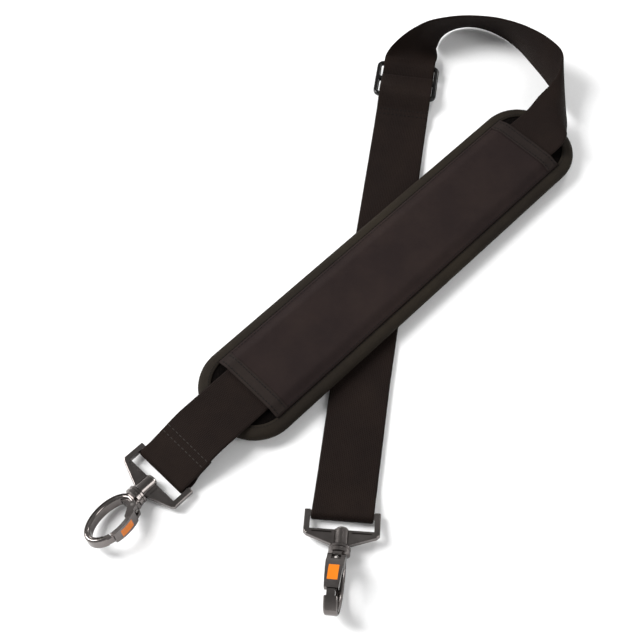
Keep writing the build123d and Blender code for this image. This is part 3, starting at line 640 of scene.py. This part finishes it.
def strip_surface(strip):
    """The webbing from end to end: points, normals, UVs, each mark's row, and each row's distance.

    It has a slow lift, a finer ripple and slightly uneven edges, as used webbing has.
    """
    lefts = np.array(strip.lefts)
    rights = np.array(strip.rights)
    positions = cumulative((lefts + rights) / 2)
    keep = np.concatenate([[True], np.diff(positions) > 1e-4])
    marks = {name: positions[index] for name, index in strip.marks.items()}
    positions, lefts, rights = positions[keep], lefts[keep], rights[keep]
    wanted = np.linspace(0, positions[-1], int(positions[-1] / STRIP_SPACING) + 1)
    left = resample(lefts, positions, wanted)
    right = resample(rights, positions, wanted)
    middle = (left + right) / 2
    across = unit(left - right)
    along = unit(np.gradient(middle, axis=0))
    normal = unit(np.cross(along, across))
    ring = SECTION_HALF + [(a, -b) for a, b in SECTION_HALF[-2:0:-1]]
    rows, columns = len(wanted), len(ring)
    points = np.zeros((rows, columns, 3))
    for i in range(rows):
        lift = LIFT * wander(wanted[i] / LIFT_LENGTH, 0.0, 3.0)
        for j, (a, b) in enumerate(ring):
            ripple = lift + RIPPLE * wander(wanted[i] / RIPPLE_LENGTH, a / RIPPLE_WIDTH, 7.0)
            edge = a * (1 + UNEVEN_EDGE * wander(wanted[i] / EDGE_LENGTH, math.copysign(5.0, a), 11.0))
            points[i, j] = middle[i] + across[i] * edge + normal[i] * (b + ripple * 0.6)
    points[:, :, 2] = np.maximum(points[:, :, 2], LOWEST)
    du = np.roll(points, -1, axis=1) - np.roll(points, 1, axis=1)
    dv = np.gradient(points, axis=0)
    normals = unit(np.cross(du, dv))
    if (normals * (points - middle[:, None, :])).sum() < 0:
        normals = -normals
    distances = np.array([0.0] + [math.dist(ring[j], ring[j - 1]) for j in range(1, columns)]).cumsum()
    distances = np.append(distances, distances[-1] + math.dist(ring[-1], ring[0]))
    uvs = np.stack(np.broadcast_arrays(distances[None, :] * MM, wanted[:, None] * MM), axis=-1)
    cuts = {name: int(round(place / wanted[1])) for name, place in marks.items()}
    return points, normals, uvs, cuts, wanted


def webbing_piece(name, surface, start, end):
    """The webbing between two rows, and its length in metres."""
    points, normals, uvs, _, distances = surface
    keep = slice(start, end + 1)
    piece = tube_mesh(name, points[keep], uvs[keep], WEBBING, normals[keep])
    return piece, float(distances[end] - distances[start]) * MM


def make_webbing():
    """The strap in three pieces, cut where it passes from one body to another."""
    surface = strip_surface(whole_strip())
    cuts = surface[3]
    last = len(surface[4]) - 1
    shoulder, shoulder_length = webbing_piece("shoulder_webbing", surface, 0, cuts["arc_cut"])
    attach(shoulder, "strap")
    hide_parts("webbing_hook_a_fold", "webbing_shoulder_span", "webbing_turn", "webbing_arc")

    lead, lead_length = webbing_piece("lead_webbing", surface, cuts["arc_cut"], cuts["wave_cut"])
    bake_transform(lead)
    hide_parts("webbing_adjuster_lead", "webbing_adjuster_wave")

    run, run_length = webbing_piece("run_webbing", surface, cuts["wave_cut"], last)
    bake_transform(run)
    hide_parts("webbing_lower_run_top", "webbing_lower_run", "webbing_hook_b_fold", "webbing_upper_run",
                "webbing_upper_run_top", "webbing_adjuster_fold")


# ---- the pad ----

PAD_MIDDLE = (PAD_BOTTOM + PAD_TOP) / 2
# (inset, rise) from the pad's outline and its middle height, for the upper half of the cushion.
CUSHION_TOP = [(1.2, 1.4), (2.2, 2.4), (4.0, 3.0), (6.5, 3.3), (9.0, 3.4), (11.0, 3.4), (14.0, 3.5),
               (18.0, 3.5), (24.0, 3.5), (30.0, 3.5), (34.9, 3.5)]
CUSHION_COLUMNS = 240
DENT = 0.35
DENT_START = 8.0
DENT_FADE = 8.0
# The cloth simulation: its mesh size, pressure, length, largest move, and the width of the edge that is held.
VOXEL = 4.0
PRESSURE = 4.0
SWELL_FRAMES = 20
SWELL_CAP = 1.2
BOUND_EDGE = 6.0


def on_pad(along, across, height):
    """A layout point, from its place along and across the pad."""
    return PAD_CENTRE + heading_vector(PAD_HEADING) * along + side_vector(PAD_HEADING) * across + UP * height


def pad_outline(inset, count):
    """Points round the pad's rounded outline, moved in by an inset, and the full outline's length.

    They are evenly spaced along the full outline.
    """
    half_length = PAD_LENGTH / 2 - PAD_CORNER
    half_width = PAD_WIDTH / 2 - PAD_CORNER
    quarter = math.pi / 2 * PAD_CORNER
    total = 4 * half_length + 4 * half_width + 4 * quarter
    points = []
    outward = []
    # Each corner's middle and the angle that its arc starts at; each is followed by a straight side.
    corners = [(half_length, half_width, 0), (-half_length, half_width, 90),
               (-half_length, -half_width, 180), (half_length, -half_width, 270)]
    sides = [2 * half_length, 2 * half_width] * 2
    for k in range(count):
        s = total * k / count
        for (cx, cy, angle), side in zip(corners, sides):
            if s < quarter:
                turn = math.radians(angle + 90 * s / quarter)
                normal = (math.cos(turn), math.sin(turn))
                points.append((cx + normal[0] * PAD_CORNER, cy + normal[1] * PAD_CORNER))
                outward.append(normal)
                break
            s -= quarter
            if s < side:
                turn = math.radians(angle + 90)
                normal = (math.cos(turn), math.sin(turn))
                step = (-math.sin(turn), math.cos(turn))
                points.append((cx + normal[0] * PAD_CORNER + step[0] * s,
                               cy + normal[1] * PAD_CORNER + step[1] * s))
                outward.append(normal)
                break
            s -= side
    # An inset past the corner's radius goes on towards the pad's two middle lines.
    moved = []
    for (x, y), (nx, ny) in zip(points, outward):
        depth = min(inset, PAD_CORNER)
        x, y = x - nx * depth, y - ny * depth
        extra = inset - depth
        if extra > 0:
            x = math.copysign(max(abs(x) - extra, 0.0), x)
            y = math.copysign(max(abs(y) - extra, 0.0), y)
        moved.append((x, y))
    return np.array(moved), total


def copy_evaluated(piece):
    """The piece's mesh with its modifiers worked out."""
    graph = bpy.context.evaluated_depsgraph_get()
    return bpy.data.meshes.new_from_object(piece.evaluated_get(graph), depsgraph=graph)


def swell(piece):
    """Puff the stuffed slab with cloth pressure, held at its bound edge, and keep the result as its mesh."""
    remesh = piece.modifiers.new("remesh", "REMESH")
    remesh.mode = "VOXEL"
    remesh.voxel_size = VOXEL * MM
    mesh = copy_evaluated(piece)
    piece.modifiers.clear()
    before = coordinates(mesh)
    mesh.materials.clear()
    mesh.materials.append(piece.data.materials[0])
    piece.data = mesh

    along, across = heading_vector(PAD_HEADING), side_vector(PAD_HEADING)
    local = before / MM + FOOTPRINT_MIDDLE - PAD_CENTRE
    x, y = np.abs(local @ along), np.abs(local @ across)
    bend_x = np.maximum(x - (PAD_LENGTH / 2 - PAD_CORNER), 0.0)
    bend_y = np.maximum(y - (PAD_WIDTH / 2 - PAD_CORNER), 0.0)
    inset = PAD_CORNER - np.hypot(bend_x, bend_y)
    held = piece.vertex_groups.new(name="held")
    for index in np.nonzero(inset < BOUND_EDGE)[0]:
        held.add([int(index)], 1.0, "REPLACE")
    cloth = piece.modifiers.new("cloth", "CLOTH")
    cloth.settings.use_pressure = True
    cloth.settings.uniform_pressure_force = PRESSURE
    cloth.settings.vertex_group_mass = "held"
    cloth.settings.effector_weights.gravity = 0.0
    cloth.point_cache.frame_start = 1
    cloth.point_cache.frame_end = SWELL_FRAMES
    for frame_number in range(1, SWELL_FRAMES + 1):
        bpy.context.scene.frame_set(frame_number)
    step = coordinates(copy_evaluated(piece)) - before
    piece.modifiers.clear()
    piece.vertex_groups.clear()
    bpy.context.scene.frame_set(1)
    reach = np.linalg.norm(step, axis=1, keepdims=True)
    step *= np.minimum(1.0, SWELL_CAP * MM / np.maximum(reach, 1e-9))
    mesh.vertices.foreach_set("co", (before + step).ravel())
    subdivide = piece.modifiers.new("round", "SUBSURF")
    subdivide.levels = subdivide.render_levels = 1
    rounded = copy_evaluated(piece)
    piece.modifiers.clear()
    piece.data = rounded
    shade_smooth(rounded)


def make_cushion():
    """The foam core in its two covers: a crowned slab, pinched at its bound edge."""
    rings = [(inset, rise) for inset, rise in CUSHION_TOP[::-1]] + [(0.5, 0.0)]
    rings += [(inset, -rise) for inset, rise in CUSHION_TOP]
    points = np.zeros((len(rings), CUSHION_COLUMNS, 3))
    uvs = np.zeros((len(rings), CUSHION_COLUMNS + 1, 2))
    for i, (inset, rise) in enumerate(rings):
        outline, _ = pad_outline(inset, CUSHION_COLUMNS)
        for j, (x, y) in enumerate(outline):
            soft = min(1.0, max(0.0, (inset - DENT_START) / DENT_FADE))
            dent = DENT * wander(x / 22.0, y / 16.0, 2.0) * soft
            level = rise + math.copysign(dent, rise) if rise else 0.0
            points[i, j] = on_pad(x, y, PAD_MIDDLE + level)
            uvs[i, j] = (x * MM, y * MM)
        uvs[i, -1] = uvs[i, 0]
    cushion = tube_mesh("pad_cushion", points, uvs, COVER)
    swell(cushion)
    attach(cushion, "pad")
    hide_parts("pad_foam_core", "pad_base_cover", "pad_top_cover")


# (inset, rise) of the tape's outer face, from its upper edge to the pad's outline.
BINDING_SECTION = [(8.6, 3.75), (8.4, 4.15), (6.5, 4.05), (4.0, 3.75),
                   (2.2, 3.2), (0.9, 2.3), (0.2, 1.2), (0.0, 0.0)]
BINDING_STEPS = 480
INNER_INSET = 0.45
INNER_RISE = 0.86
PUCKER = 0.10
CORNER_PUCKER = 0.28


def make_binding():
    """Woven tape folded over the pad's edge, slightly puckered round the corners."""
    outer = BINDING_SECTION + [(inset, -rise) for inset, rise in BINDING_SECTION[-2::-1]]
    inner = []
    for inset, rise in outer[::-1]:
        beside_pad = abs(rise) < 3
        inner.append((inset + INNER_INSET if beside_pad else inset, rise * INNER_RISE))
    section = outer + inner
    count = BINDING_STEPS
    points = np.zeros((count + 1, len(section), 3))
    uvs = np.zeros((count + 1, len(section) + 1, 2))
    girth = np.array([0.0] + [math.dist(section[k], section[k - 1]) for k in range(1, len(section))]).cumsum()
    for j, (inset, rise) in enumerate(section):
        outline, total = pad_outline(inset, count)
        for i in range(count + 1):
            x, y = outline[i % count]
            at_corner = max(0.0, min(1.0, (abs(x) - (PAD_LENGTH / 2 - PAD_CORNER)) / 10.0))
            s = (i % count) * total / count
            pucker = wander(s / (7.0 - 3.5 * at_corner), rise * 0.2, 5.0)
            pucker *= PUCKER + CORNER_PUCKER * at_corner
            points[i, j] = on_pad(x, y, PAD_MIDDLE + rise + math.copysign(pucker, rise))
            uvs[i, j] = (girth[j] * MM, i * total / count * MM)
    uvs[:, -1] = uvs[:, -2] + [0.001, 0]
    tape = tube_mesh("pad_binding_tape", points, uvs, BINDING, caps=False)
    bm = bmesh.new()
    bm.from_mesh(tape.data)
    bmesh.ops.remove_doubles(bm, verts=bm.verts, dist=1e-7)
    bmesh.ops.recalc_face_normals(bm, faces=bm.faces)
    bm.to_mesh(tape.data)
    bm.free()
    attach(tape, "pad")
    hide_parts("pad_edge_binding")


SLEEVE_SIDE = 27.2
SLEEVE_FLAT = 18.5
SLEEVE_CREST = SPAN_HEIGHT + HALF_WEB + 0.35
SLEEVE_THICK = 0.7
SLEEVE_FOOT = PAD_TOP - 0.15
SLEEVE_COLUMNS = 41
HEM_THICK = 0.6
HEM_LIFT = SLEEVE_THICK + 0.02
SLACK = 0.35
FINE_SLACK = 0.2
SEAM_PULL = 0.11


def sleeve_height(along, across):
    """Underside of the sleeve panel: over the webbing, easing down to the binding at each side."""
    reach = min(1.0, max(0.0, (abs(across) - SLEEVE_FLAT) / (SLEEVE_SIDE - SLEEVE_FLAT)))
    fall = reach * reach * (3 - 2 * reach)
    slack = SLACK * wander(along / 26.0, across / 30.0, 1.0)
    slack += FINE_SLACK * wander(along / 9.0, across / 22.0, 4.0)
    seam_pull = SEAM_PULL * math.sin(along / 4.1) * max(0.0, 1 - abs(reach - 0.75) / 0.25)
    crest = SLEEVE_CREST + (0.25 + slack) * (1 - fall)
    return crest * (1 - fall) + SLEEVE_FOOT * fall + seam_pull


def sheet_grid(half_length, centre, half_width, thick, lift, rows):
    """Closed cross-sections of a thin panel lying along the sleeve, and their UVs."""
    columns = SLEEVE_COLUMNS
    across = np.linspace(-half_width, half_width, columns)
    points = np.zeros((rows, 2 * columns, 3))
    uvs = np.zeros((rows, 2 * columns + 1, 2))
    for i, x in enumerate(np.linspace(centre - half_length, centre + half_length, rows)):
        for j, y in enumerate(across):
            low = sleeve_height(x, y) + lift
            points[i, j] = on_pad(x, y, low + thick)
            points[i, 2 * columns - 1 - j] = on_pad(x, y, low)
            uvs[i, j] = (y * MM, x * MM)
            uvs[i, 2 * columns - 1 - j] = (y * MM, x * MM)
        uvs[i, -1] = uvs[i, 0]
    return points, uvs


def make_sleeve():
    """The panel that the webbing runs under, with a folded hem at each mouth."""
    points, uvs = sheet_grid(SLEEVE_LENGTH / 2, 0.0, SLEEVE_SIDE, SLEEVE_THICK, 0.0, rows=274)
    panel = tube_mesh("sleeve_fabric_panel", points, uvs, SLEEVE)
    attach(panel, "pad")
    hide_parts("sleeve_panel")
    for letter, end in (("a", -1), ("b", 1)):
        middle = end * (SLEEVE_LENGTH / 2 - HEM_LENGTH / 2)
        half = HEM_LENGTH / 2 + 0.4
        points, uvs = sheet_grid(half, middle, SLEEVE_SIDE - 0.3, HEM_THICK, HEM_LIFT, rows=14)
        hem = tube_mesh(f"sleeve_fabric_hem_{letter}", points, uvs, HEM)
        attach(hem, "pad")
        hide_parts(f"sleeve_hem_{letter}")


# ---- stitches ----

STITCH_SIDES = 8
STITCH_RINGS = 7
# Length and radius of one stitch of each kind.
# The hem's stitches are thick and close-set: partly real stitching, partly a painted shadow line along each
# hem.
HEM_STITCH_AND_SHADOW_LINE = (2.3, 0.32)
SIDE_STITCH = (2.1, 0.24)
BINDING_STITCH = (2.1, 0.22)
HOOK_STITCH = (2.5, 0.32)
ADJUSTER_STITCH = (2.3, 0.32)


def stitch_rows(name, rows, material, body, replaced=()):
    """Separate raised stitches, each a (point, direction, normal, length, radius) in layout millimetres.

    Each is full in the middle, a little flattened, and sunk into the cloth at its ends.
    """
    bm = bmesh.new()
    for start, direction, normal, length, radius in rows:
        direction, normal = unit(np.asarray(direction)), unit(np.asarray(normal))
        side = np.cross(direction, normal)
        rings = []
        for t in np.linspace(-1, 1, STITCH_RINGS):
            fullness = math.sqrt(max(0.0, 1 - abs(t) ** 2.6)) * 0.92 + 0.08
            sink = radius * 0.9 * (abs(t) ** 3)
            ring = []
            for k in range(STITCH_SIDES):
                angle = math.tau * k / STITCH_SIDES
                wide = math.cos(angle) * radius * fullness
                high = math.sin(angle) * radius * 0.8 * fullness - sink
                spot = np.asarray(start) + direction * (t * length / 2) + (side * wide + normal * high)
                ring.append(bm.verts.new(row(spot)))
            rings.append(ring)
        for a, b in zip(rings, rings[1:]):
            for k in range(STITCH_SIDES):
                after = (k + 1) % STITCH_SIDES
                bm.faces.new((a[k], a[after], b[after], b[k]))
        bm.faces.new(rings[0][::-1])
        bm.faces.new(rings[-1])
    bmesh.ops.recalc_face_normals(bm, faces=bm.faces)
    mesh = bpy.data.meshes.new(name)
    bm.to_mesh(mesh)
    bm.free()
    shade_smooth(mesh)
    piece = new_object(name, mesh, material)
    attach(piece, body)
    if replaced:
        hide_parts(*replaced)


def hem_stitches_and_shadow_lines():
    """Two rows of dark stitches across each of the sleeve's hems, thick and close-set so that they also paint
    the dark shadow line along the hem.
    """
    rows = []
    for end in (-1, 1):
        for inset in (HEM_LENGTH - 1.3, 1.6):
            x = end * (SLEEVE_LENGTH / 2 - inset)
            for y in np.arange(-SLEEVE_SIDE + 2.5, SLEEVE_SIDE - 2.0, 2.45):
                height = sleeve_height(x, y) + SLEEVE_THICK + 0.66
                rows.append((on_pad(x, y, height), side_vector(PAD_HEADING), UP, *HEM_STITCH_AND_SHADOW_LINE))
    return rows


def seam_stitches():
    """Along both sides of the sleeve, and round the binding on the pad's top and underside."""
    along, across = heading_vector(PAD_HEADING), side_vector(PAD_HEADING)
    rows = []
    for side in (-1, 1):
        y = side * (SLEEVE_SIDE - 1.4)
        for x in np.arange(-SLEEVE_LENGTH / 2 + 2, SLEEVE_LENGTH / 2 - 1, 2.8):
            rows.append((on_pad(x, y, sleeve_height(x, y) + SLEEVE_THICK + 0.05), along, UP, *SIDE_STITCH))
    outline, _ = pad_outline(6.9, 270)
    for here, ahead in zip(outline, np.roll(outline, -1, axis=0)):
        x, y = (here + ahead) / 2
        step = ahead - here
        direction = along * step[0] + across * step[1]
        for level in (4.12, -4.12):
            outward = UP * math.copysign(1, level)
            rows.append((on_pad(x, y, PAD_MIDDLE + level), direction, outward, *BINDING_STITCH))
    return rows


def hook_a_stitches():
    """Two rows through the webbing behind hook A, on its top and on the tail's underside."""
    rows = []
    for distance in (15.5, 20.0):
        side = side_vector(PAD_HEADING + skew_at_hook_a(distance))
        slope = (span_height(distance + 1) - span_height(distance - 1)) / 2
        normal = UP - heading_vector(PAD_HEADING) * slope
        for level, flip in ((HALF_WEB - 0.02, 1), (-HALF_WEB - SEWN_PITCH + 0.02, -1)):
            for y in np.arange(-16.5, 16.6, 3.3):
                spot = BAR_A + heading_vector(PAD_HEADING) * distance + side * y
                rows.append((spot + UP * (span_height(distance) + level), side, normal * flip, *HOOK_STITCH))
    return rows


def adjuster_stitches():
    """Two rows through the sewn end, just behind the adjuster."""
    rows = []
    landing, height = descent(2, 90)[-1]
    for distance in (-0.5, 4.0):
        for y in np.arange(-17.0, 17.1, 3.0):
            spot = adjuster_point(landing - distance, y, height + HALF_WEB)
            rows.append((spot, side_vector(RUN_UPPER_HEADING), UP, *ADJUSTER_STITCH))
    return rows


def make_stitches():
    """Every row of stitching that shows."""
    stitch_rows("hem_stitching_and_shadow_line", hem_stitches_and_shadow_lines(), THREAD_DARK, "pad", ["stitching_sleeve_hems"])
    stitch_rows("pad_seam_stitching", seam_stitches(), THREAD_DARK, "pad")
    stitch_rows("hook_a_stitching", hook_a_stitches(), THREAD_LIGHT, "strap",
                ["stitching_hook_a"])
    stitch_rows("adjuster_stitching", adjuster_stitches(), THREAD_DARK, "adjuster",
                ["stitching_adjuster"])


# ---- metal and plastic ----

COIL_RADIUS = 1.9
COIL_DEPTH = 1.9
COIL_TURNS = 4
COIL_STEPS = 28
WIRE_RADIUS = 0.24
WIRE_SIDES = 10


def make_springs():
    """A coil of wire round each gate's pin."""
    for joint in frame["joints"]:
        if joint["parent"] not in ("hook_a", "hook_b"):
            continue
        centre = np.array(joint["pos_m"]) / MM + FOOTPRINT_MIDDLE
        axis = unit(np.array(joint["axis"], float))
        side = unit(np.cross(axis, [1.0, 0.0, 0.0]))
        other = np.cross(axis, side)
        turns = np.linspace(0.0, 1.0, COIL_TURNS * COIL_STEPS + 1)
        points = np.zeros((len(turns), WIRE_SIDES, 3))
        uvs = np.zeros((len(turns), WIRE_SIDES + 1, 2))
        for i, part in enumerate(turns):
            angle = math.tau * COIL_TURNS * part
            out = side * math.cos(angle) + other * math.sin(angle)
            middle = centre + axis * (part - 0.5) * COIL_DEPTH + out * COIL_RADIUS
            for j in range(WIRE_SIDES):
                around = math.tau * j / WIRE_SIDES
                points[i, j] = middle + (out * math.cos(around) + axis * math.sin(around)) * WIRE_RADIUS
            uvs[i, :, 0] = np.arange(WIRE_SIDES + 1) * WIRE_RADIUS * MM
            uvs[i, :, 1] = part * MM
        coil = tube_mesh(joint["parent"] + "_spring_coil", points, uvs, PIN_METAL)
        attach(coil, joint["parent"])
        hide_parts(joint["parent"] + "_gate_spring")


def finish_nodes():
    """The rigid CAD nodes keep their shape and take their finish."""
    finishes = {"adjuster_frame": ADJUSTER}
    for letter in "ab":
        for node in (f"loop_{letter}_frame", f"hook_{letter}_body", f"gate_{letter}_lever"):
            finishes[node] = HOOK_METAL
        for node in (f"hook_{letter}_stud", f"hook_{letter}_gate_pin"):
            finishes[node] = PIN_METAL
        finishes[f"gate_{letter}_inlay"] = INLAY
    for name, material in finishes.items():
        node = frame["nodes"][name]
        node.data.materials.clear()
        node.data.materials.append(material)


# ---- floor, light and camera ----

FLOOR_HALF = 6.0


def make_stage():
    """A plain pale floor."""
    corners = [(x * FLOOR_HALF, y * FLOOR_HALF, 0) for x, y in ((-1, -1), (1, -1), (1, 1), (-1, 1))]
    mesh = bpy.data.meshes.new("floor")
    mesh.from_pydata(corners, [], [(0, 1, 2, 3)])
    m = Nodes("floor_paper")
    grain = m.noise(400.0, 2.0)
    m.link(m.mix(grain, (0.86, 0.86, 0.86), (0.9, 0.9, 0.9)), m.shader.inputs["Base Color"])
    m.set(Roughness=0.9, Specular_IOR_Level=0.1)
    new_object("floor", mesh, m.material)


def area_light(name, location, size, power):
    """A soft lamp turned to the strap's middle."""
    light = bpy.data.lights.new(name, "AREA")
    light.shape = "RECTANGLE"
    light.size, light.size_y = size
    light.energy = power
    lamp = bpy.data.objects.new(name, light)
    bpy.context.scene.collection.objects.link(lamp)
    lamp.location = location
    lamp.rotation_euler = (-Vector(location)).to_track_quat("-Z", "Y").to_euler()


SKY_LOW = 0.8
SKY_HIGH = 0.3


def make_lights():
    """Three soft lamps, clear of the flat metal's reflections, and a sky that is brightest low down."""
    area_light("key", (-1.1, 0.3, 1.0), (0.6, 1.0), 38.0)
    area_light("fill", (1.1, -0.5, 1.0), (0.4, 1.0), 7.0)
    area_light("back", (0.6, 1.15, 1.0), (0.35, 0.35), 6.0)
    world = bpy.data.worlds.new("studio")
    bpy.context.scene.world = world
    world.use_nodes = True
    nodes, links = world.node_tree.nodes, world.node_tree.links
    direction = nodes.new("ShaderNodeSeparateXYZ")
    links.new(nodes.new("ShaderNodeTexCoord").outputs["Generated"], direction.inputs[0])
    fade = nodes.new("ShaderNodeMapRange")
    fade.inputs["From Min"].default_value = 0.0
    fade.inputs["From Max"].default_value = 0.9
    fade.inputs["To Min"].default_value = SKY_LOW
    fade.inputs["To Max"].default_value = SKY_HIGH
    links.new(direction.outputs["Z"], fade.inputs["Value"])
    links.new(fade.outputs[0], nodes["Background"].inputs["Strength"])
    nodes["Background"].inputs["Color"].default_value = (1.0, 1.0, 1.0, 1.0)
    bpy.context.scene.view_settings.view_transform = "Standard"


CAMERA_HEIGHT = 642.0
CAMERA_PITCH = 62.7
CAMERA_LENS = 60.84


def make_camera():
    """The camera at the photograph's viewing angle."""
    camera = bpy.data.cameras.new("camera")
    camera.lens = CAMERA_LENS
    camera.sensor_width = 36.0
    camera.clip_start = 0.01
    view = bpy.data.objects.new("camera", camera)
    bpy.context.scene.collection.objects.link(view)
    view.location = row((0.0, 0.0, CAMERA_HEIGHT))
    view.rotation_euler = (math.radians(90 - CAMERA_PITCH), 0.0, 0.0)
    bpy.context.scene.camera = view


make_camera()
make_webbing()
make_cushion()
make_binding()
make_sleeve()
make_stitches()
make_springs()
finish_nodes()
make_stage()
make_lights()
